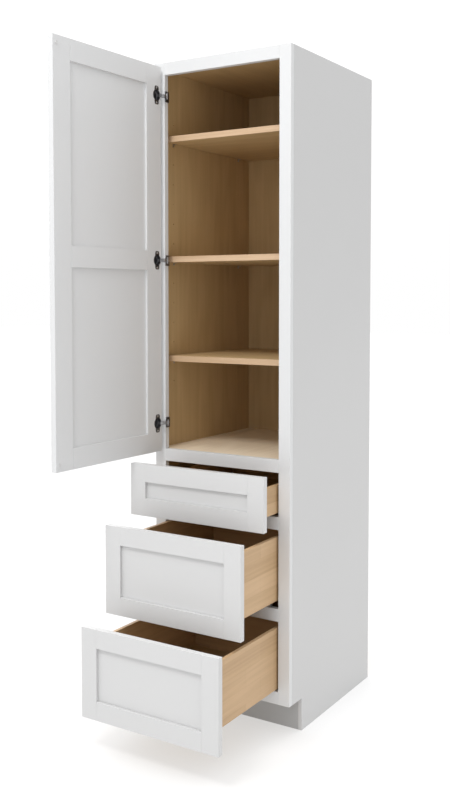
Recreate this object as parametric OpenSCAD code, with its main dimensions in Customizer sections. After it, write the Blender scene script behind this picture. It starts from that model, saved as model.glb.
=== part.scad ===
// Tall pantry cabinet with a face frame: one overlay door above, three drawers below.
// Millimetres. X runs along the front, the centre plane is X = 0. The wall plane is Y = 0, the
// front faces -Y, and the floor is Z = 0. The door stands open and the drawers stand pulled out.

/* [Carcass] */
// Overall width
cab_w = 508; // [480:1:540]
// Depth from the wall to the front of the face frame
cab_d = 592; // [592:1:640]
// Overall height
cab_h = 2134; // [2134:1:2200]
// Thickness of the two side panels
side_t = 12; // [10:1:14]
// Thickness of the back panel
back_t = 12; // [9:1:12]
// Thickness of the top, pantry floor and bottom panels
deck_t = 15; // [12:1:18]
// Height of the toe space
toe_h = 104; // [90:1:104]
// Depth of the toe space, from the front of the face frame
toe_d = 82; // [70:1:90]

/* [Face frame] */
// Thickness of the face frame
frame_t = 19; // [18:1:20]
// Width of each stile and rail
frame_w = 40; // [38:1:40]
// Underside of the rail between the door and the drawers
mid_rail_z = 832; // [828:1:834]
// Underside of the rail below the top drawer
upper_rail_z = 654; // [650:1:656]
// Underside of the rail below the middle drawer
lower_rail_z = 366; // [362:1:368]

/* [Door] */
// Underside of the closed door
door_z = 866; // [860:1:868]
// Height of the door
door_h = 1252; // [1248:1:1258]
// Angle that the door stands open
door_open = 92; // [80:1:98]
// Width of the door's stiles
door_stile_w = 72; // [66:1:80]
// Width of the door's rails
door_rail_w = 63; // [56:1:72]
// Heights of the three hinges
hinge_z = [959, 1493, 2025];

/* [Fronts] */
// Thickness of the door and the drawer fronts
front_t = 19; // [18:1:20]
// Thickness of the flat panels set in them
panel_t = 6; // [5:0.5:7]
// Bare frame left beside the door and the drawer fronts
reveal = 8; // [6:1:10]
// Air gap between a closed front and the face frame
gap = 3; // [3:0.5:4]
// Width of the stiles and rails of a drawer front
front_member_w = 57; // [50:1:60]

/* [Drawers] */
// Undersides of the drawer fronts, top drawer first
front_z = [677, 391, 105];
// Heights of the drawer fronts
front_h = [166, 277, 277];
// Undersides of the drawer boxes
box_z = [706, 431, 151];
// Heights of the drawer boxes
box_h = [88, 200, 194];
// How far each drawer stands pulled out
pull = [124, 253, 369];
// Depth of the drawer boxes
box_l = 530; // [500:1:530]
// Side clearance between a drawer box and the face frame
box_clear = 6; // [5:0.5:8]
// Thickness of the sides, front and back of a box
box_t = 12; // [10:1:14]
// Thickness of the drawer bottoms
bottom_t = 6; // [5:0.5:7]

/* [Shelves] */
// Undersides of the adjustable shelves, lowest first
shelf_z = [1159, 1489, 1885];
// Thickness of the shelves
shelf_t = 19; // [16:1:20]
// Distance from the front of the face frame to the front of a shelf
shelf_setback = 45; // [40:1:80]
// Spacing of the shelf pin holes
pin_pitch = 66; // [66]
// Diameter of the shelf pin holes
pin_d = 5; // [5:0.5:6]

/* [Hidden] */

$fn = 32;

// Paint, timber and metal colours
paint = [0.93, 0.93, 0.92];
ply = [0.76, 0.62, 0.45];
maple = [0.85, 0.70, 0.50];
steel = [0.62, 0.63, 0.65];
nickel = [0.45, 0.45, 0.46];
plastic = [0.80, 0.80, 0.78];

// Inner faces and rail heights
inner_w = cab_w - 2 * side_t;
open_w = cab_w - 2 * frame_w;
box_depth = cab_d - frame_t - back_t;
rail_tops = [upper_rail_z + frame_w, lower_rail_z + frame_w, toe_h + frame_w];

// Door, panels and drawer fronts
front_w = cab_w - 2 * reveal;
tongue = 8;
groove_d = 8.5;
// How far a flat panel lies behind the front face: midway in the door, further back in the drawer fronts
recess = (front_t - panel_t) / 2;
drawer_recess = 9.5;
door_mid_z = door_z + (door_h - door_rail_w) / 2;

// Hinge: the door turns about an upright line inside its own edge, as a cup hinge makes it do
pivot = [reveal + 8, -gap - 17.5];
cup_r = 17.5;
cup_depth = 14;
cup_wall = 0.9;
cup_floor = 1;
cup_inset = 21;
rim = 0.8;
ear_h = 60;
ear_w = 24;
cup_screw_gap = 48;
cup_screw_r = 1.6;
// The link's cup end, its distance and bearing from the pivot with the door shut
link_end = [reveal + 10.5, -gap - 3];
end_r = norm(link_end - pivot);
end_a = atan2(link_end[1] - pivot[1], link_end[0] - pivot[0]);
// The link's pin in the frame clip is as far from that end with the door open as with it shut
link_reach = 40;
link_pin = pivot + link_reach * [cos(end_a - door_open / 2), sin(end_a - door_open / 2)];
end_open = pivot + end_r * [cos(end_a - door_open), sin(end_a - door_open)];
link_crank = 8;
crank = end_open + link_crank * [sin(door_open), cos(door_open)];
link_t = 2.4;
link_h = 13;
link_end_r = 1.9;
pin_r = 2;
run_clear = 0.05;
lug_t = 2;
lug_gap = 0.4;

// Drawer boxes and runners
box_x0 = frame_w + box_clear;
box_w = cab_w - 2 * box_x0;
bottom_up = 12.7;
groove_in = 6;
sheet = 1.5;
runner_w = 34;
runner_l = 533;
rib_h = 10;
runner_y = 3;
rib_y = box_t - gap + 3;
bracket_l = box_depth + frame_t - runner_y - runner_l;

// Shelf pins
pin_rows = 14;
pin_low_z = shelf_z[0] - 3 - pin_pitch;
pin_hole_depth = 8;
pin_y = [shelf_setback + 43, cab_d - 90];
shelf_play = 1.5;
edge_t = 3;

// Moves a shape from cabinet coordinates, measured from the left front foot, to the wall origin
module placed() {
    translate([-cab_w / 2, -cab_d, 0]) children();
}

// A box given by its lowest corner and its size
module block(at, size) {
    translate(at) cube(size);
}

// The same shape again, mirrored about the centre plane
module both_sides() {
    children();
    translate([cab_w, 0, 0]) mirror([1, 0, 0]) children();
}

// Turns the shut door about its pivot to where it stands open
module hung() {
    translate([pivot[0], pivot[1], 0])
        rotate([0, 0, -door_open])
            translate([-pivot[0], -pivot[1], 0]) children();
}

// Slides a shut drawer out
module pulled(i, share) {
    translate([0, -pull[i] * share, 0]) children();
}

// ---- Carcass ----

module pin_holes() {
    for (y = pin_y)
        for (k = [0 : pin_rows - 1])
            translate([side_t - pin_hole_depth, y, pin_low_z + k * pin_pitch])
                rotate([0, 90, 0]) cylinder(d = pin_d, h = pin_hole_depth + 1);
}

module side_panel() {
    difference() {
        block([0, frame_t, 0], [side_t, cab_d - frame_t, cab_h]);
        block([-1, frame_t - 1, -1], [side_t + 2, toe_d - frame_t + 1, toe_h + 1]);
        pin_holes();
    }
}

module side_panel_left() {
    color(paint) placed() side_panel();
}

module side_panel_right() {
    color(paint) placed() translate([cab_w, 0, 0]) mirror([1, 0, 0]) side_panel();
}

module back_panel() {
    color(ply) placed() block([side_t, cab_d - back_t, 0], [inner_w, back_t, cab_h]);
}

module inner_deck(top_z) {
    color(ply) placed() block([side_t, frame_t, top_z - deck_t], [inner_w, box_depth, deck_t]);
}

module top_panel() {
    inner_deck(cab_h);
}

module pantry_floor() {
    inner_deck(mid_rail_z + frame_w);
}

module bottom_panel() {
    inner_deck(toe_h + frame_w);
}

module toe_board() {
    color(paint) placed() block([side_t, toe_d, 0], [inner_w, side_t, toe_h + frame_w - deck_t]);
}

// ---- Face frame ----

module frame_stile(x) {
    color(paint) placed() block([x, 0, toe_h], [frame_w, frame_t, cab_h - toe_h]);
}

module frame_rail(z) {
    block([frame_w, 0, z], [open_w, frame_t, frame_w]);
}

module frame_stile_left() {
    frame_stile(0);
}

module frame_stile_right() {
    frame_stile(cab_w - frame_w);
}

module frame_top_rail() {
    color(paint) placed() frame_rail(cab_h - frame_w);
}

module frame_mid_rail() {
    color(paint) placed() frame_rail(mid_rail_z);
}

module frame_drawer_rails() {
    color(paint) placed() {
        frame_rail(upper_rail_z);
        frame_rail(lower_rail_z);
    }
}

module frame_bottom_rail() {
    color(paint) placed() frame_rail(toe_h);
}

// ---- Shelves and their pins ----

module shelf(z) {
    color(ply) placed()
        block([side_t + shelf_play, shelf_setback + edge_t, z],
              [inner_w - 2 * shelf_play, cab_d - back_t - 2 - shelf_setback - edge_t, shelf_t]);
}

module shelf_lower() {
    shelf(shelf_z[0]);
}

module shelf_middle() {
    shelf(shelf_z[1]);
}

module shelf_upper() {
    shelf(shelf_z[2]);
}

module shelf_edges() {
    color(maple) placed()
        for (z = shelf_z)
            block([side_t + shelf_play, shelf_setback, z], [inner_w - 2 * shelf_play, edge_t, shelf_t]);
}

// A spoon pin: a round shank in the side panel and a flat rest under the shelf
module shelf_pin(y, z) {
    translate([side_t - pin_hole_depth + 0.5, y, z - 3])
        rotate([0, 90, 0]) cylinder(d = pin_d - 0.1, h = pin_hole_depth + 1);
    block([side_t, y - 4, z - 2], [11, 8, 2]);
    block([side_t, y - 4, z - 10], [1.4, 8, 9]);
}

module shelf_pins() {
    color(steel) placed()
        both_sides()
            for (y = pin_y)
                for (z = shelf_z)
                    shelf_pin(y, z);
}

// ---- Hinges ----

// An upright cylinder centred on a hinge height
module upright(at, z, r, h) {
    translate([at[0], at[1], z - h / 2]) cylinder(r = r, h = h);
}

// A straight bar between two points of the plan, round at both ends
module bar_2d(a, b, w) {
    translate(a)
        rotate(atan2(b[1] - a[1], b[0] - a[0]))
            translate([0, -w / 2]) square([norm(b - a), w]);
    translate(a) circle(d = w);
    translate(b) circle(d = w);
}

// The frame clip: a plate on the stile's edge and two lugs that carry the link's pin
module hinge_clip(z) {
    plate_h = 34;
    plate_y = 2;
    lug_z = link_h / 2 + lug_gap;
    difference() {
        union() {
            block([frame_w, plate_y, z - plate_h / 2], [3, frame_t, plate_h]);
            block([frame_w - 4, frame_t, z - plate_h / 2], [7, 2, plate_h]);
            for (s = [lug_z, -lug_z - lug_t])
                translate([0, 0, z + s]) linear_extrude(lug_t) {
                    bar_2d([frame_w + 4, link_pin[1] + 6], link_pin, 7);
                    translate([frame_w + 2.5, -1]) square([4, 14]);
                }
        }
        upright(link_pin, z, pin_r, 40);
        translate([frame_w - 1, 14, z]) rotate([0, 90, 0]) cylinder(r = pin_r, h = 6);
    }
}

module hinge_clips() {
    color(nickel) placed()
        for (z = hinge_z) hinge_clip(z);
}

// Link pins, headed at both ends, and the screw that holds each clip to the stile
module hinge_pins() {
    color(steel) placed()
        for (z = hinge_z) {
            upright(link_pin, z, pin_r, link_h + 2 * (lug_gap + lug_t) + 1.2);
            for (s = [-1, 1])
                upright(link_pin, z + s * (link_h / 2 + lug_gap + lug_t + 0.5), pin_r + 0.8, 1);
            translate([frame_w + 3, 14, z]) rotate([0, 90, 0]) cylinder(r = 3.6, h = 1.2);
            translate([frame_w, 14, z]) rotate([0, 90, 0]) cylinder(r = pin_r, h = 3.5);
        }
}

// The link: a cranked strip from the clip's pin into the cup
module hinge_link(z) {
    difference() {
        translate([0, 0, z - link_h / 2]) linear_extrude(link_h) {
            bar_2d(link_pin, crank, link_t);
            bar_2d(crank, end_open, link_t);
            translate(link_pin) circle(r = pin_r + 1.6);
            translate(end_open) circle(r = link_end_r);
        }
        upright(link_pin, z, pin_r + run_clear, 40);
    }
}

module hinge_links() {
    color(nickel) placed()
        for (z = hinge_z) hinge_link(z);
}

// The cup's axis runs through the door, from its inner face towards its outer face
module across_cup(z, from, r, h) {
    translate([reveal + cup_inset, from, z]) rotate([90, 0, 0]) cylinder(r = r, h = h);
}

module cup_screw(z, r, from, h) {
    for (s = [-1, 1]) across_cup(z + s * cup_screw_gap / 2, from, r, h);
}

// The cup, its rim and the two ears that lie on the door
module hinge_cup(z) {
    difference() {
        union() {
            across_cup(z, -gap, cup_r, cup_depth);
            across_cup(z, -gap + rim, cup_r + 0.8, rim);
            block([reveal + cup_inset - ear_w / 2, -gap, z - ear_h / 2], [ear_w, rim, ear_h]);
        }
        across_cup(z, 1, cup_r - cup_wall, 1 + gap + cup_depth - cup_floor);
        cup_screw(z, cup_screw_r, 1, 20);
    }
}

module hinge_cups() {
    color(nickel) placed() hung()
        for (z = hinge_z) hinge_cup(z);
}

module hinge_cup_screws() {
    color(steel) placed() hung()
        for (z = hinge_z) {
            cup_screw(z, 3.4, -gap + rim + 1, 1);
            cup_screw(z, cup_screw_r, -gap + rim + 0.5, 12);
        }
}

// ---- Door and drawer fronts ----

// An upright member with a groove for the panel in its inner edge
module grooved_stile(at, w, h, groove_side, inset = recess) {
    x_groove = groove_side > 0 ? w - groove_d : -1;
    difference() {
        block(at, [w, front_t, h]);
        block(at + [x_groove, inset, -1], [groove_d + 1, panel_t, h + 2]);
    }
}

// A level member with tongues that fill the stiles' grooves, and grooves above or below
module grooved_rail(at, w, h, groove_top, groove_bottom, inset = recess) {
    difference() {
        union() {
            block(at, [w, front_t, h]);
            block(at + [-groove_d, inset, 0], [w + 2 * groove_d, panel_t, h]);
        }
        if (groove_top)
            block(at + [-groove_d - 1, inset, h - groove_d], [w + 2 * groove_d + 2, panel_t, groove_d + 1]);
        if (groove_bottom)
            block(at + [-groove_d - 1, inset, -1], [w + 2 * groove_d + 2, panel_t, groove_d + 1]);
    }
}

module flat_panel(at, w, h, inset = recess) {
    block(at + [-tongue, inset, -tongue], [w + 2 * tongue, panel_t, h + 2 * tongue]);
}

front_y = -gap - front_t;
door_in_x = reveal + door_stile_w;
door_in_w = front_w - 2 * door_stile_w;

module door_part() {
    color(paint) placed() hung() children();
}

module door_stile_hinge() {
    door_part()
        difference() {
            grooved_stile([reveal, front_y, door_z], door_stile_w, door_h, 1);
            for (z = hinge_z) {
                across_cup(z, 1, cup_r, 1 + gap + cup_depth);
                cup_screw(z, cup_screw_r, 1, 1 + gap - rim + 12);
            }
        }
}

module door_stile_free() {
    door_part() grooved_stile([reveal + front_w - door_stile_w, front_y, door_z], door_stile_w, door_h, -1);
}

module door_rail(z, groove_top, groove_bottom) {
    door_part() grooved_rail([door_in_x, front_y, z], door_in_w, door_rail_w, groove_top, groove_bottom);
}

module door_top_rail() {
    door_rail(door_z + door_h - door_rail_w, false, true);
}

module door_mid_rail() {
    door_rail(door_mid_z, true, true);
}

module door_bottom_rail() {
    door_rail(door_z, true, false);
}

module door_panel(z0, z1) {
    door_part() flat_panel([door_in_x, front_y, z0], door_in_w, z1 - z0);
}

module door_panel_upper() {
    door_panel(door_mid_z + door_rail_w, door_z + door_h - door_rail_w);
}

module door_panel_lower() {
    door_panel(door_z + door_rail_w, door_mid_z);
}

// Soft stops on the free side of the door's inner face
module door_bumpers() {
    color(plastic) placed() hung()
        for (z = [door_z + 22, door_z + door_h - 22])
            translate([reveal + front_w - 14, -gap + 2.6, z]) rotate([90, 0, 0]) cylinder(r = 4.5, h = 2.6);
}

// ---- Drawers ----

module front_stiles(i) {
    color(paint) placed() pulled(i, 1) {
        grooved_stile([reveal, front_y, front_z[i]], front_member_w, front_h[i], 1, drawer_recess);
        grooved_stile([reveal + front_w - front_member_w, front_y, front_z[i]], front_member_w, front_h[i], -1, drawer_recess);
    }
}

module front_rails(i) {
    rail_w = front_w - 2 * front_member_w;
    rail_x = reveal + front_member_w;
    color(paint) placed() pulled(i, 1) {
        grooved_rail([rail_x, front_y, front_z[i]], rail_w, front_member_w, true, false, drawer_recess);
        grooved_rail([rail_x, front_y, front_z[i] + front_h[i] - front_member_w],
                     rail_w, front_member_w, false, true, drawer_recess);
    }
}

module front_panel(i) {
    color(paint) placed() pulled(i, 1)
        flat_panel([reveal + front_member_w, front_y, front_z[i] + front_member_w],
                   front_w - 2 * front_member_w, front_h[i] - 2 * front_member_w, drawer_recess);
}

module box_bottom_groove(i) {
    block([box_x0 + box_t - groove_in, box_t - groove_in - gap, box_z[i] + bottom_up],
          [box_w - 2 * box_t + 2 * groove_in, box_l - box_t + groove_in + 1, bottom_t]);
}

module box_sides(i) {
    color(maple) placed() pulled(i, 1)
        difference() {
            both_sides() block([box_x0, -gap, box_z[i]], [box_t, box_l, box_h[i]]);
            box_bottom_groove(i);
        }
}

module box_front(i) {
    color(maple) placed() pulled(i, 1)
        difference() {
            block([box_x0 + box_t, -gap, box_z[i]], [box_w - 2 * box_t, box_t, box_h[i]]);
            box_bottom_groove(i);
        }
}

// The back stands on the bottom, so the runners pass beneath it
module box_back(i) {
    z = box_z[i] + bottom_up + bottom_t;
    color(maple) placed() pulled(i, 1)
        block([box_x0 + box_t, box_l - box_t - gap, z],
              [box_w - 2 * box_t, box_t, box_z[i] + box_h[i] - z]);
}

module box_bottom(i) {
    color(maple) placed() pulled(i, 1)
        block([box_x0 + box_t - groove_in, box_t - groove_in - gap, box_z[i] + bottom_up],
              [box_w - 2 * box_t + 2 * groove_in, box_l - box_t + groove_in, bottom_t]);
}

// A folded channel that opens downwards, under each side of the drawer bottom
module down_channel(inset, w, top_z, drop, y0, length) {
    x0 = box_x0 + box_t + inset;
    difference() {
        block([x0, y0, top_z - drop], [w, length, drop]);
        block([x0 + sheet, y0 - 1, top_z - drop - 1], [w - 2 * sheet, length + 2, drop + 1 - sheet]);
    }
}

// The drawer member, and the latch that grips the box front
module drawer_runner(i) {
    top_z = box_z[i] + bottom_up;
    color(steel) placed() pulled(i, 1)
        both_sides() {
            down_channel(4, runner_w, top_z, 8.7, box_t - gap + 1, box_l - box_t - 12);
            block([box_x0 + box_t + runner_w + 5, box_t - gap, top_z - 7], [18, 26, 7]);
        }
}

// The middle member travels half as far as the drawer
module runner_middle(i) {
    color(steel) placed() pulled(i, 0.5)
        both_sides()
            down_channel(7, runner_w - 6, box_z[i] + bottom_up - 3, 8.7, box_t - gap + 6, box_l - box_t - 30);
}

// The cabinet member: a flat base with a raised rib, a foot on the rail below
module fixed_member(i) {
    x0 = box_x0 + box_t + 2;
    rib_x = box_x0 + box_t + 11;
    rib_w = runner_w - 14;
    base_z = box_z[i] - 3.5;
    rib_l = runner_l + runner_y - rib_y;
    block([x0, runner_y, base_z], [runner_w + 4, runner_l, sheet]);
    difference() {
        block([rib_x, rib_y, base_z], [rib_w, rib_l, rib_h]);
        block([rib_x + sheet, rib_y - 1, base_z + sheet], [rib_w - 2 * sheet, rib_l + 2, rib_h - 2 * sheet]);
    }
    block([rib_x, runner_y, rail_tops[i]], [rib_w, frame_t - 5, base_z - rail_tops[i]]);
}

module runner_fixed() {
    color(steel) placed()
        for (i = [0 : 2]) both_sides() fixed_member(i);
}

module runner_brackets() {
    color(plastic) placed()
        for (i = [0 : 2])
            both_sides()
                block([box_x0 + box_t + 2, runner_y + runner_l, box_z[i] - 7], [runner_w + 4, bracket_l, 15]);
}

module drawer_1_front_stiles() { front_stiles(0); }
module drawer_1_front_rails() { front_rails(0); }
module drawer_1_front_panel() { front_panel(0); }
module drawer_1_box_sides() { box_sides(0); }
module drawer_1_box_front() { box_front(0); }
module drawer_1_box_back() { box_back(0); }
module drawer_1_box_bottom() { box_bottom(0); }
module drawer_1_runner() { drawer_runner(0); }
module drawer_1_runner_middle() { runner_middle(0); }
module drawer_2_front_stiles() { front_stiles(1); }
module drawer_2_front_rails() { front_rails(1); }
module drawer_2_front_panel() { front_panel(1); }
module drawer_2_box_sides() { box_sides(1); }
module drawer_2_box_front() { box_front(1); }
module drawer_2_box_back() { box_back(1); }
module drawer_2_box_bottom() { box_bottom(1); }
module drawer_2_runner() { drawer_runner(1); }
module drawer_2_runner_middle() { runner_middle(1); }
module drawer_3_front_stiles() { front_stiles(2); }
module drawer_3_front_rails() { front_rails(2); }
module drawer_3_front_panel() { front_panel(2); }
module drawer_3_box_sides() { box_sides(2); }
module drawer_3_box_front() { box_front(2); }
module drawer_3_box_back() { box_back(2); }
module drawer_3_box_bottom() { box_bottom(2); }
module drawer_3_runner() { drawer_runner(2); }
module drawer_3_runner_middle() { runner_middle(2); }

side_panel_left();
side_panel_right();
back_panel();
top_panel();
pantry_floor();
bottom_panel();
toe_board();
frame_stile_left();
frame_stile_right();
frame_top_rail();
frame_mid_rail();
frame_drawer_rails();
frame_bottom_rail();
shelf_lower();
shelf_middle();
shelf_upper();
shelf_edges();
shelf_pins();
hinge_clips();
hinge_pins();
runner_fixed();
runner_brackets();
door_stile_hinge();
door_stile_free();
door_top_rail();
door_mid_rail();
door_bottom_rail();
door_panel_upper();
door_panel_lower();
hinge_cups();
hinge_cup_screws();
door_bumpers();
hinge_links();
drawer_1_front_stiles();
drawer_1_front_rails();
drawer_1_front_panel();
drawer_1_box_sides();
drawer_1_box_front();
drawer_1_box_back();
drawer_1_box_bottom();
drawer_1_runner();
drawer_1_runner_middle();
drawer_2_front_stiles();
drawer_2_front_rails();
drawer_2_front_panel();
drawer_2_box_sides();
drawer_2_box_front();
drawer_2_box_back();
drawer_2_box_bottom();
drawer_2_runner();
drawer_2_runner_middle();
drawer_3_front_stiles();
drawer_3_front_rails();
drawer_3_front_panel();
drawer_3_box_sides();
drawer_3_box_front();
drawer_3_box_back();
drawer_3_box_bottom();
drawer_3_runner();
drawer_3_runner_middle();
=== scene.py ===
"""A tall face-frame pantry cabinet: a recessed-panel door, shelves behind it, three drawers below."""

import math

import bpy
import numpy as np
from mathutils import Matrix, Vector


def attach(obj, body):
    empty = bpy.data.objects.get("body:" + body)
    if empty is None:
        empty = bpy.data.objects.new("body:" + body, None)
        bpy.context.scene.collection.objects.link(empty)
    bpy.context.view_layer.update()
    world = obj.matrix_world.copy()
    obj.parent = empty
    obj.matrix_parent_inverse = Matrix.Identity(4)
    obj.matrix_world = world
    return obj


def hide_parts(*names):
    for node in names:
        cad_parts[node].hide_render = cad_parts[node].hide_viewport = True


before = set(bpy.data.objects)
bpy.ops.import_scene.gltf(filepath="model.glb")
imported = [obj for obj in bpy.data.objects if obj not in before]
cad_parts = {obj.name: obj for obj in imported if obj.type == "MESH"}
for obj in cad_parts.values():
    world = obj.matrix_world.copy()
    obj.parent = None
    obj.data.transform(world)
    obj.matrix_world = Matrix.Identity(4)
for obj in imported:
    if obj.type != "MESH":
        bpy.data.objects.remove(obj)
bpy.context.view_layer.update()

# ---------------------------------------------------------------------------
# Side panels. Veneered plywood, sprayed white on the outside before assembly;
# the inside keeps its clear-lacquered veneer and the cut edges show the plies.
# ---------------------------------------------------------------------------


class Coat:
    """One value in a finish. It wraps a node's socket, and arithmetic on it adds Math nodes."""

    def __init__(self, tree, socket=None):
        self.tree = tree
        self.socket = socket

    def make(self, kind, settings=None, inputs=None, out=0):
        """Adds a node of this kind, sets its settings, then its sockets, and gives back one output."""
        node = self.tree.nodes.new(kind)
        for name, value in (settings or {}).items():
            setattr(node, name, value)
        for name, value in (inputs or {}).items():
            if isinstance(value, Coat):
                self.tree.links.new(value.socket, node.inputs[name])
            elif isinstance(value, tuple) and node.inputs[name].type == "RGBA":
                node.inputs[name].default_value = (*value, 1.0)
            else:
                node.inputs[name].default_value = value
        return Coat(self.tree, node.outputs[out] if node.outputs else None)

    def maths(self, operation, first, second=0.0):
        return self.make("ShaderNodeMath", {"operation": operation}, {0: first, 1: second})

    def __add__(self, other):
        return self.maths("ADD", self, other)

    def __sub__(self, other):
        return self.maths("SUBTRACT", self, other)

    def __rsub__(self, other):
        return self.maths("SUBTRACT", other, self)

    def __mul__(self, other):
        return self.maths("MULTIPLY", self, other)

    def __gt__(self, other):
        return self.maths("GREATER_THAN", self, other)

    def __abs__(self):
        return self.maths("ABSOLUTE", self)

    __radd__ = __add__
    __rmul__ = __mul__

    def sine(self):
        return self.maths("SINE", self)

    def above(self, other):
        """The larger of the two values."""
        return self.maths("MAXIMUM", self, other)

    def noise(self, stretch, detail=3.0, roughness=0.55, lean=(0.0, 0.0, 0.0)):
        """Cloudy noise from 0 to 1, with stretch cycles a metre along X, Y and Z; self is a place."""
        place = self.make("ShaderNodeMapping", None,
                          {"Vector": self, "Scale": stretch, "Location": lean})
        return self.make("ShaderNodeTexNoise", None,
                         {"Vector": place, "Scale": 1.0, "Detail": detail, "Roughness": roughness})

    def blend(self, low, high):
        """Mixes two colours, low where self is 0 and high where it is 1."""
        return self.make("ShaderNodeMix", {"data_type": "RGBA"}, {0: self, 6: low, 7: high}, 2)

    def axis(self, letter):
        return self.make("ShaderNodeSeparateXYZ", None, {0: self}, letter)

    def bump(self, height, depth):
        """A surface normal that follows height, which stands for depth metres from 0 to 1."""
        return self.make("ShaderNodeBump", None, {"Strength": 1.0, "Distance": depth, "Height": height})


def new_finish(name):
    """A material with one shader: the material, the shader's node and the place on the piece."""
    material = bpy.data.materials.new(name)
    material.use_nodes = True
    material.node_tree.nodes.clear()
    start = Coat(material.node_tree)
    surface = start.make("ShaderNodeBsdfPrincipled")
    start.make("ShaderNodeOutputMaterial", None, {"Surface": surface})
    place = start.make("ShaderNodeTexCoord", None, None, "Object")
    return material, surface.socket.node, place


def feed(shader, **values):
    """Links or sets the shader's sockets; an underscore in a name stands for a space."""
    for name, value in values.items():
        socket = shader.inputs[name.replace("_", " ")]
        if isinstance(value, Coat):
            shader.id_data.links.new(value.socket, socket)
        else:
            socket.default_value = value


GRAIN = {"X": (1.0, 0.0, 0.0), "Y": (0.0, 1.0, 0.0), "Z": (0.0, 0.0, 1.0)}


def along(letter, fine, long):
    """Cycles a metre on each axis: long ones along the grain, fine ones across it."""
    return tuple(long if g else fine for g in GRAIN[letter])


def sprayed_layers(place, grain, shade):
    """White lacquer: colour, roughness and height, with orange peel and a trace of the grain."""
    cloud = place.noise((2.3, 2.3, 2.3), 2.0)
    peel = place.noise((520.0, 520.0, 520.0), 2.0)
    telegraph = place.noise(along(grain, 260.0, 9.0), 3.0)
    dust = place.noise((46.0, 46.0, 46.0), 4.0)
    deep = tuple(c * 0.955 for c in shade)
    colour = (cloud * 0.7 + dust * 0.3).blend(deep, shade)
    rough = 0.33 + peel * 0.08 + dust * 0.07
    height = peel * 0.55 + telegraph * 0.45
    return colour, rough, height


def veneer_layers(place, grain, dark, light, growth, lean=(0.0, 0.0, 0.0)):
    """Lacquered maple: colour, roughness and height, from growth lines, streaks and fine pores."""
    wander = place.noise(along(grain, 5.0, 0.9), 2.0, 0.5, lean)
    spread = place.noise(along(grain, growth, 1.3), 2.0, 0.5, lean)
    lines = (spread * 34.0 + wander * 9.0).sine() * 0.5 + 0.5
    streak = place.noise(along(grain, 70.0, 2.2), 4.0, 0.6, lean)
    pores = place.noise(along(grain, 1400.0, 34.0), 2.0, 0.6)
    mixed = lines * 0.12 + streak * 0.46 + wander * 0.42
    tone = place.make("ShaderNodeMapRange", None, {0: mixed, 1: 0.2, 2: 0.8})
    colour = tone.blend(dark, light)
    flecks = (pores > 0.64) * 0.16
    colour = flecks.blend(colour, tuple(c * 0.55 for c in dark))
    rough = 0.40 + streak * 0.10 + pores * 0.08
    height = pores * 0.6 + streak * 0.4
    return colour, rough, height


# The side panels' white is a darker copy of the frame's: painted shade, for sides turned away from the
# key light.
SIDE_PAINT_SHADED = (0.60, 0.60, 0.60)
VENEER_DARK = (0.44, 0.295, 0.14)
VENEER_LIGHT = (0.63, 0.45, 0.235)
OUTER_SKIN = 0.2533
INNER_FACE = 0.2421
FIRST_PLY = 0.2424
TOE_NOTCH_FRONT = -0.5093


def side_panel_finish():
    """Paint outside, in a darker white than the frame's as painted shade; veneer inside, bare plies on
    the cut edges; the toe notch's edges are painted.

    All distances are in metres, out from the cabinet's middle or forward along Y.
    """
    material, shader, place = new_finish("side_panel_finish")
    white, white_rough, white_height = sprayed_layers(place, "Z", SIDE_PAINT_SHADED)
    wood, wood_rough, wood_height = veneer_layers(place, "Z", VENEER_DARK, VENEER_LIGHT, 7.0)
    out = abs(place.axis("X"))
    toe_edge = (out > INNER_FACE) * (TOE_NOTCH_FRONT - place.axis("Y") > 0.0)
    skin = (out > OUTER_SKIN).above(toe_edge)
    plies = (out * 4200.0).sine() * 0.5 + 0.5
    core = (out > FIRST_PLY) * plies * 0.55
    wood = core.blend(wood, tuple(c * 0.55 for c in VENEER_DARK))
    height = skin * white_height * 0.4 + (1 - skin) * wood_height
    rough = skin * white_rough + (1 - skin) * wood_rough
    feed(shader, Base_Color=skin.blend(wood, white), Roughness=rough,
         Normal=place.bump(height, 0.00012), Coat_Weight=0.05)
    return material


# How far an arris is rounded, in metres: sanded solid wood, trimmed board, pressed metal.
SANDED = 0.0009
CUT_CLEAN = 0.0006
CRISP = 0.0003


def dress(nodes, material, radius=SANDED):
    """Gives each CAD piece its finish and takes off its sharp arris.

    The piece's loose triangles are joined first; then its square edges are rounded to the radius.
    """
    for node in nodes:
        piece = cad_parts[node]
        weld = piece.modifiers.new("joined", "WELD")
        weld.merge_threshold = 0.00001
        arris = piece.modifiers.new("arris", "BEVEL")
        arris.width = radius
        arris.segments = 2
        arris.limit_method = "ANGLE"
        arris.angle_limit = math.radians(40)
        arris.harden_normals = True
        piece.data.materials.clear()
        piece.data.materials.append(material)


dress(["side_panel_left", "side_panel_right"], side_panel_finish(), CUT_CLEAN)


# ---------------------------------------------------------------------------
# Back, top, pantry floor and bottom. Clear-lacquered maple plywood, glued and
# stapled between the sides; the back runs down to the floor.
# ---------------------------------------------------------------------------


def plywood_finish(name, grain, growth, dark=VENEER_DARK, light=VENEER_LIGHT):
    """Clear-lacquered veneer with its grain along one axis."""
    material, shader, place = new_finish(name)
    wood, rough, height = veneer_layers(place, grain, dark, light, growth, (0.31, 0.17, 0.53))
    feed(shader, Base_Color=wood, Roughness=rough, Normal=place.bump(height, 0.00014),
         Coat_Weight=0.06)
    return material


# The pantry floor gets a paler copy of the plywood's veneer: painted light, for the light falling on it
# from the front above.
LIT_FLOOR_VENEER_DARK = (0.70, 0.56, 0.40)
LIT_FLOOR_VENEER_LIGHT = (0.92, 0.80, 0.62)

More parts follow.
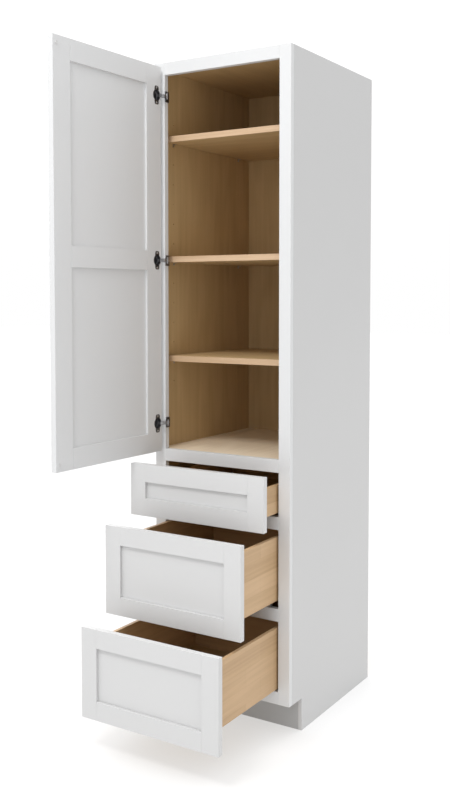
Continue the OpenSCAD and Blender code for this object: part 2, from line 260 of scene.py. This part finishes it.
dress(["back_panel"], plywood_finish("back_veneer", "Z", 6.0), CUT_CLEAN)
dress(["top_panel", "bottom_panel"], plywood_finish("deck_veneer", "Y", 7.0), CUT_CLEAN)
dress(["pantry_floor"],
      plywood_finish("pantry_floor_veneer", "Y", 7.0, LIT_FLOOR_VENEER_DARK, LIT_FLOOR_VENEER_LIGHT), CUT_CLEAN)


# ---------------------------------------------------------------------------
# Face frame and toe board. Solid wood members, glued edge to end, sanded and
# sprayed white as one; the rails' grain runs across and the stiles' up.
# ---------------------------------------------------------------------------

PAINT_FRAME = (0.70, 0.705, 0.71)
# The toe board is darker still: painted shade, for the shadow under the cabinet.
TOE_PAINT_SHADED = tuple(c * 0.72 for c in SIDE_PAINT_SHADED)


def paint_finish(name, grain, shade):
    """Sprayed white lacquer over solid wood or board, with the grain along one axis."""
    material, shader, place = new_finish(name)
    colour, rough, height = sprayed_layers(place, grain, shade)
    feed(shader, Base_Color=colour, Roughness=rough, Normal=place.bump(height, 0.00005),
         Coat_Weight=0.08, Coat_Roughness=0.25)
    return material


dress(["frame_stile_left", "frame_stile_right"],
      paint_finish("frame_paint_upright", "Z", PAINT_FRAME))
dress(["frame_top_rail", "frame_mid_rail", "frame_drawer_rails", "frame_bottom_rail"],
      paint_finish("frame_paint_level", "X", PAINT_FRAME))
dress(["toe_board"], paint_finish("toe_paint", "X", TOE_PAINT_SHADED))


# ---------------------------------------------------------------------------
# Shelves. Plywood with a solid maple strip glued along the front edge; they
# rest loose on steel pins and lift out.
# ---------------------------------------------------------------------------

LIPPING_DARK = tuple(c * 0.88 for c in (0.54, 0.355, 0.20))
LIPPING_LIGHT = tuple(c * 0.88 for c in (0.76, 0.545, 0.36))

dress(["shelf_lower", "shelf_middle", "shelf_upper"],
      plywood_finish("shelf_veneer", "X", 7.0), CUT_CLEAN)


def lipping_finish():
    """Solid maple strip, lacquered, with close straight grain along the shelf's edge."""
    material, shader, place = new_finish("shelf_lipping")
    wood, rough, height = veneer_layers(place, "X", LIPPING_DARK, LIPPING_LIGHT, 30.0, (0.2, 0.6, 0.1))
    feed(shader, Base_Color=wood, Roughness=rough, Normal=place.bump(height, 0.00012),
         Coat_Weight=0.06)
    return material


dress(["shelf_edges"], lipping_finish(), 0.0004)


# ---------------------------------------------------------------------------
# Clips, pins and fixed runners. Pressed and plated steel, screwed to the
# cabinet: dull nickel on the hinge clips, bright nickel on pins, zinc on runners.
# ---------------------------------------------------------------------------


def metal_finish(name, shade, rough, rolled, depth=0.00003):
    """Plated steel with rolling marks along one axis, handling haze and pits."""
    material, shader, place = new_finish(name)
    marks = place.noise(along(rolled, 1900.0, 40.0), 3.0, 0.6)
    haze = place.noise((60.0, 60.0, 60.0), 4.0, 0.6)
    pits = place.noise((900.0, 900.0, 900.0), 2.0)
    colour = (haze * 0.6 + marks * 0.4).blend(tuple(c * 0.72 for c in shade), shade)
    feed(shader, Base_Color=colour, Metallic=1.0, Roughness=rough + haze * 0.16 + marks * 0.08,
         Normal=place.bump(marks * 0.6 + pits * 0.4, depth))
    return material


dark_nickel = metal_finish("hinge_nickel", (0.27, 0.27, 0.285), 0.26, "Z")
bright_nickel = metal_finish("pin_nickel", (0.62, 0.61, 0.60), 0.22, "X")
zinc = metal_finish("runner_zinc", (0.60, 0.61, 0.63), 0.30, "Y")

dress(["shelf_pins", "hinge_pins"], bright_nickel, CRISP)
dress(["hinge_clips"], dark_nickel, 0.0004)
dress(["runner_fixed"], zinc, CRISP)


# ---------------------------------------------------------------------------
# Hinge cups. Deep-drawn plated steel: a dished cup let into the door's stile,
# a rolled rim, and a plate with a broad ear above and below for the screws.
# ---------------------------------------------------------------------------

HINGE_HEIGHTS = (0.959, 1.493, 2.025)
DOOR_OPEN = math.radians(92.0)
DOOR_PIVOT = (-0.238, -0.6125)
DOOR_INNER_FACE = -0.595
CUP_AXIS = -0.225
CUP_SCREW_REACH = 0.024
EAR_HALF_WIDTH = 0.0112
EAR_REACH = 0.0298
FLANGE_RADIUS = 0.0182


def sheets_piece(name, sheets, finish, body, nodes):
    """A piece made of closed skins, riding on its body and standing for its CAD nodes.

    Each sheet is a grid of points, rows by columns by three. Its columns close into a ring,
    neighbouring rows are joined by quads, and its first and last rows are capped.
    """
    points, faces, start = [], [], 0
    for sheet in sheets:
        rows, columns = sheet.shape[:2]
        index = start + np.arange(rows * columns).reshape(rows, columns)
        ring = np.roll(index, -1, axis=1)
        quads = np.stack([index[:-1], ring[:-1], ring[1:], index[1:]], axis=-1).reshape(-1, 4)
        faces += quads.tolist() + [index[0, ::-1].tolist(), index[-1].tolist()]
        points.append(sheet.reshape(-1, 3))
        start += rows * columns
    mesh = bpy.data.meshes.new(name)
    mesh.from_pydata(np.concatenate(points).tolist(), [], faces)
    mesh.polygons.foreach_set("use_smooth", np.ones(len(mesh.polygons), dtype=bool))
    mesh.set_sharp_from_angle(angle=math.radians(38))
    mesh.materials.append(finish)
    piece = bpy.data.objects.new(name, mesh)
    bpy.context.scene.collection.objects.link(piece)
    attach(piece, body)
    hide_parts(*nodes)


def on_door(across, deep, up):
    """Places a hinge cup's own grid on the open door.

    across runs from the cup's axis towards the door's free edge, deep into the door from its inner
    face, and up is the height, all in metres. The shut door's place is turned by the door's opening
    angle about the door's pivot.
    """
    x = across + CUP_AXIS - DOOR_PIVOT[0]
    y = DOOR_INNER_FACE - deep - DOOR_PIVOT[1]
    cosine, sine = math.cos(-DOOR_OPEN), math.sin(-DOOR_OPEN)
    return np.stack([DOOR_PIVOT[0] + x * cosine - y * sine,
                     DOOR_PIVOT[1] + x * sine + y * cosine, up], axis=-1)


def cup_sheet(height):
    """One cup and its plate, as rings about the cup's axis.

    The rings climb from the floor of the dish up its wall and over the rolled rim; then they spread
    from the rim's circle to the plate's outline, turn over the plate's edge and go back down the
    outside of the dish. The outline is the soft maximum of a circle and of a rounded rectangle,
    pinched beside the ears. A profile's depths are in millimetres into the door.
    """
    dish = [(0.0004, 13.0), (0.012, 13.0), (0.0148, 12.7), (0.0161, 11.7), (0.0166, 10.2),
            (0.0166, 1.3), (0.01672, 0.3), (0.0170, -0.45), (0.0174, -0.78), (0.0178, -0.78),
            (0.0181, -0.62)]
    plate = [(0.06, -0.46), (0.3, -0.46), (0.7, -0.46), (0.93, -0.44), (0.985, -0.34),
             (1.0, -0.18), (1.0, 0.0)]
    underside = [(0.0175, 0.0), (0.0175, 13.2), (0.0168, 14.0), (0.0004, 14.0)]
    rim = dish[-1][0]

    angle = np.linspace(0, 2 * math.pi, 96, endpoint=False)
    c, s = np.cos(angle), np.sin(angle)
    around = np.ones_like(angle)
    ears = ((np.abs(s) / EAR_HALF_WIDTH) ** 5 + (np.abs(c) / EAR_REACH) ** 5) ** (-1 / 5)
    outline = (FLANGE_RADIUS ** 14 + ears ** 14) ** (1 / 14)
    pinch = 0.0010 * np.exp(-((outline - 0.0205) / 0.0022) ** 2)
    outline = np.maximum(outline - pinch, 0.01825)

    rings = [(radius * around, deep) for radius, deep in dish]
    rings += [(rim + (outline - rim) * part, deep) for part, deep in plate]
    rings += [(radius * around, deep) for radius, deep in underside]
    radius = np.array([ring for ring, deep in rings])
    depth = np.array([deep * 0.001 * around for ring, deep in rings])
    return on_door(radius * s, depth, height + radius * c)[:, ::-1]


def screw_sheet(height):
    """A pan-head screw, as rings from the middle of its head out to the rim and down the shank.

    The head's height is a flattened dome, a power of the radius, less a cross whose arms are bands
    about both axes. The last three rings are the head's underside and the two ends of the shank.
    """
    head = [0.05, 0.3, 0.55, 0.8, 1.05, 1.3, 1.55, 1.8, 2.1, 2.5, 2.9, 3.2, 3.36]
    radius = np.array(head + [3.4, 1.6, 1.6]) * 0.001
    angle = np.linspace(0, 2 * math.pi, 48, endpoint=False)
    r, a = np.meshgrid(radius, angle, indexing="ij")
    x, y = r * np.sin(a), r * np.cos(a)
    dome = -1.78 + 1.1 * (r / 0.0034) ** 3.2
    off_axis = np.minimum(np.abs(x), np.abs(y)) * 1000
    cross = np.clip((0.55 - off_axis) / 0.15, 0, 1) * np.clip((2.1 - r * 1000) / 0.25, 0, 1)
    deep = (dome + 0.75 * cross) * 0.001
    deep[-3], deep[-2], deep[-1] = -0.0004, -0.0004, 0.010
    return on_door(x, deep, height + y)[:, ::-1]


plate_nickel = metal_finish("plate_nickel", (0.20, 0.20, 0.21), 0.28, "Z")
cups = [cup_sheet(z) for z in HINGE_HEIGHTS]
screws = [screw_sheet(z + s) for z in HINGE_HEIGHTS for s in (-CUP_SCREW_REACH, CUP_SCREW_REACH)]
sheets_piece("hinge_cup_shells", cups, plate_nickel, "door", ["hinge_cups"])
sheets_piece("hinge_cup_screw_heads", screws, bright_nickel, "door",
             ["hinge_cup_screws"])


# ---------------------------------------------------------------------------
# Hinge arms. Nickel-plated pressings, cranked at the cup end and embossed with
# three ribs across, with a rolled eye around the clip's pin.
# ---------------------------------------------------------------------------

CLIP_PIN = np.array([-0.204924, -0.590007])
ARM_CRANK = np.array([-0.215601, -0.615784])
ARM_TIP = np.array([-0.223596, -0.615505])
RIB_STATIONS = (12.5, 16.0, 19.5)


def arm_sheet(height):
    """One arm, as rounded-rectangle rings along its cranked centre line.

    The centre line runs from the clip's pin to the crank and into the cup. The half thickness
    swells into the rolled eye at the pin and the bead at the cup end; the half height carries three
    ribs, each a narrow bell curve. Stations along the line are worked out in millimetres.
    """
    pin, crank, tip = CLIP_PIN, ARM_CRANK, ARM_TIP
    arm, toe = np.linalg.norm(crank - pin), np.linalg.norm(tip - crank)
    station = np.concatenate([np.linspace(-0.0033, arm - 0.002, 90),
                              np.linspace(arm + 0.0006, arm + toe + 0.0017, 24)])
    bend = np.clip((station - arm + 0.002) / 0.004, 0, 1)[:, None]
    first = pin + (crank - pin) / arm * station[:, None]
    second = crank + (tip - crank) / toe * (station[:, None] - arm)
    centre = first * (1 - bend) + second * bend
    run = np.gradient(centre, station, axis=0)
    run /= np.linalg.norm(run, axis=1)[:, None]
    side = np.stack([-run[:, 1], run[:, 0]], axis=-1)
    mm = station * 1000
    eye = np.sqrt(np.clip(1 - (mm / 3.4) ** 2, 0, 1)) * 3.2
    bead = np.sqrt(np.clip(1 - ((mm - 35.9) / 1.8) ** 2, 0, 1)) * 1.7
    rib = sum(np.exp(-((mm - place) / 0.75) ** 2) for place in RIB_STATIONS)
    swell = np.clip((mm - 10.0) / 2.0, 0, 1) * np.clip((25.0 - mm) / 2.5, 0, 1)
    strap = np.where((mm > 0) & (mm < 35.9), 1.15 + 1.1 * swell + 0.9 * rib, 0.05)
    thick = np.maximum(np.maximum(eye, bead), strap) * 0.001
    tall = (5.9 + 0.55 * rib - 1.6 * np.clip((mm - 27.0) / 5.0, 0, 1)) * 0.001
    tall *= np.sqrt(np.clip(1 - (np.clip(-mm - 2.2, 0, 9) / 1.6) ** 2, 0.3, 1))
    angle = np.linspace(0, 2 * math.pi, 40, endpoint=False)
    c, s = np.cos(angle), np.sin(angle)
    across = np.sign(c) * np.abs(c) ** 0.35 * thick[:, None]
    up = np.sign(s) * np.abs(s) ** 0.35 * tall[:, None]
    plan = centre[:, None, :] + side[:, None, :] * across[:, :, None]
    return np.concatenate([plan, (height + up)[:, :, None]], axis=2)


arm_nickel = metal_finish("arm_nickel", (0.36, 0.36, 0.37), 0.18, "Z", 0.00002)
arms = [arm_sheet(z) for z in HINGE_HEIGHTS]
sheets_piece("hinge_arms", arms, arm_nickel, "hinge_link", ["hinge_links"])


# ---------------------------------------------------------------------------
# Runner brackets. Moulded plastic sockets that hold the runners' rear ends
# against the cabinet back.
# ---------------------------------------------------------------------------


def moulded_finish(name, shade, rough, depth=0.00004):
    """Injection-moulded plastic: spark-eroded texture, slight flow clouding."""
    material, shader, place = new_finish(name)
    spark = place.noise((1500.0, 1500.0, 1500.0), 2.0)
    flow = place.noise((24.0, 24.0, 24.0), 3.0)
    colour = (flow * 0.8 + spark * 0.2).blend(tuple(c * 0.9 for c in shade), shade)
    feed(shader, Base_Color=colour, Roughness=rough + spark * 0.12, Normal=place.bump(spark, depth))
    return material


dress(["runner_brackets"], moulded_finish("bracket_plastic", (0.62, 0.62, 0.61), 0.45), 0.0008)


# ---------------------------------------------------------------------------
# Door. Five solid members and two flat panels let into grooves, sprayed white;
# it stands open past a right angle on three cup hinges.
# ---------------------------------------------------------------------------

PAINT_DOOR = (0.70, 0.705, 0.71)

dress(["door_stile_hinge", "door_stile_free"],
      paint_finish("door_paint_upright", "Z", PAINT_DOOR))
dress(["door_top_rail", "door_mid_rail", "door_bottom_rail"],
      paint_finish("door_paint_level", "Y", PAINT_DOOR))
dress(["door_panel_upper", "door_panel_lower"],
      paint_finish("door_panel_paint", "Z", PAINT_DOOR), CRISP)
dress(["door_bumpers"], moulded_finish("bumper_gel", (0.66, 0.66, 0.66), 0.5), 0.0008)


# ---------------------------------------------------------------------------
# Drawers. Framed fronts like the door's, screwed to maple boxes with a thin
# plywood bottom; each rides on two under-mounted runners.
# ---------------------------------------------------------------------------

# The drawer fronts' white is a darker copy of the frame's and door's: painted shade, for the light
# falling off lower down.
FRONT_PAINT_SHADED = (0.64, 0.64, 0.64)
STAVE_DARK = (0.36, 0.215, 0.10)
STAVE_LIGHT = (0.60, 0.405, 0.22)
STAVE_PALEST = (0.68, 0.47, 0.275)

front_upright = paint_finish("front_paint_upright", "Z", FRONT_PAINT_SHADED)
front_level = paint_finish("front_paint_level", "X", FRONT_PAINT_SHADED)


def stave_finish(name, grain, lean):
    """Boards glued up from maple staves: each stave, laid in running bond, has a tone of its own."""
    material, shader, place = new_finish(name)
    wood, rough, height = veneer_layers(place, grain, STAVE_DARK, STAVE_LIGHT, 24.0, lean)
    flat = place.make("ShaderNodeCombineXYZ", None,
                      {0: place.axis(grain), 1: place.axis("Z") + 3.0})
    stave = place.make("ShaderNodeTexBrick", {"offset": 0.37, "offset_frequency": 2},
                       {"Vector": flat, "Color1": (0.0, 0.0, 0.0), "Color2": (1.0, 1.0, 1.0),
                        "Mortar": (0.1, 0.1, 0.1), "Scale": 1.0, "Mortar Size": 0.0004,
                        "Brick Width": 0.23, "Row Height": 0.052})
    wood = (stave * 0.5).blend(wood, STAVE_PALEST)
    feed(shader, Base_Color=wood, Roughness=rough, Normal=place.bump(height, 0.00012),
         Coat_Weight=0.06)
    return material


box_long = stave_finish("box_side_maple", "Y", (0.2, 0.6, 0.1))
box_cross = stave_finish("box_end_maple", "X", (0.7, 0.3, 0.2))
box_floor = plywood_finish("box_bottom_veneer", "X", 7.0)
for number in (1, 2, 3):
    name = f"drawer_{number}_"
    dress([name + "front_stiles"], front_upright)
    dress([name + "front_rails"], front_level)
    dress([name + "front_panel"], front_level, CRISP)
    dress([name + "box_sides"], box_long, 0.0010)
    dress([name + "box_front", name + "box_back"], box_cross, 0.0010)
    dress([name + "box_bottom"], box_floor, 0.0004)
    dress([name + "runner", name + "runner_middle"], zinc, CRISP)


# ---------------------------------------------------------------------------
# The studio: a pale floor and backdrop, soft light from in front and above, and
# a camera just above the middle of the cabinet, to its right.
# ---------------------------------------------------------------------------

floor_mesh = bpy.data.meshes.new("studio_floor")
floor_mesh.from_pydata([(-30, -30, 0), (30, -30, 0), (30, 30, 0), (-30, 30, 0)], [], [(0, 1, 2, 3)])
floor = bpy.data.objects.new("studio_floor", floor_mesh)
bpy.context.scene.collection.objects.link(floor)
floor_material, floor_shader, floor_place = new_finish("floor_paint")
floor_cloud = floor_place.noise((0.8, 0.8, 0.8), 2.0)
feed(floor_shader, Base_Color=floor_cloud.blend((0.40, 0.40, 0.40), (0.42, 0.42, 0.42)), Roughness=0.7,
     Emission_Color=(1.0, 1.0, 1.0, 1.0), Emission_Strength=0.52, Specular_IOR_Level=0.0)
floor_mesh.materials.append(floor_material)

world = bpy.data.worlds.new("studio")
bpy.context.scene.world = world
world.use_nodes = True
world.node_tree.nodes.clear()
sky = Coat(world.node_tree)
toward = sky.make("ShaderNodeTexCoord", None, None, "Generated")
behind = toward.axis("Y") * 0.85 - toward.axis("X") * 0.53
overhead = toward.axis("Z").above(0.0)
wrap = sky.make("ShaderNodeMapRange", None, {0: behind, 1: 0.0, 2: 0.75, 3: 0.28, 4: 1.0})
level = wrap + overhead * overhead * 1.8
backdrop = sky.make("ShaderNodeLightPath")
glow = sky.make("ShaderNodeBackground", None,
                {"Color": (1.0, 1.0, 1.0), "Strength": level.above(backdrop)})
sky.make("ShaderNodeOutputWorld", None, {"Surface": glow})


def softbox(name, place, target, size, power):
    """A square panel of light at place, turned to face target."""
    light = bpy.data.lights.new(name, "AREA")
    light.shape = "RECTANGLE"
    light.size, light.size_y = size
    light.energy = power
    lamp = bpy.data.objects.new(name, light)
    lamp.location = place
    lamp.rotation_euler = (Vector(target) - Vector(place)).to_track_quat("-Z", "Y").to_euler()
    bpy.context.scene.collection.objects.link(lamp)


softbox("key", (0.0, -3.2, 4.2), (0.0, -0.7, 1.0), (1.0, 1.0), 62.0)
softbox("side", (3.4, -1.3, 0.9), (0.25, -0.4, 0.9), (1.6, 1.6), 3.0)
softbox("front", (1.3, -4.6, 2.7), (0.0, -0.5, 1.4), (1.8, 1.8), 20.0)

camera_data = bpy.data.cameras.new("camera")
camera_data.lens = 43.35
camera_data.shift_x = -0.0058
camera_data.shift_y = -0.0702
camera_data.clip_end = 200.0
camera = bpy.data.objects.new("camera", camera_data)
camera.location = (1.6528, -3.1648, 1.3748)
turn, dip = 0.561, 0.049
ahead = Vector((-math.sin(turn) * math.cos(dip), math.cos(turn) * math.cos(dip), -math.sin(dip)))
camera.rotation_euler = ahead.to_track_quat("-Z", "Y").to_euler()
bpy.context.scene.collection.objects.link(camera)
bpy.context.scene.camera = camera
bpy.context.scene.view_settings.view_transform = "Standard"

bpy.context.view_layer.update()
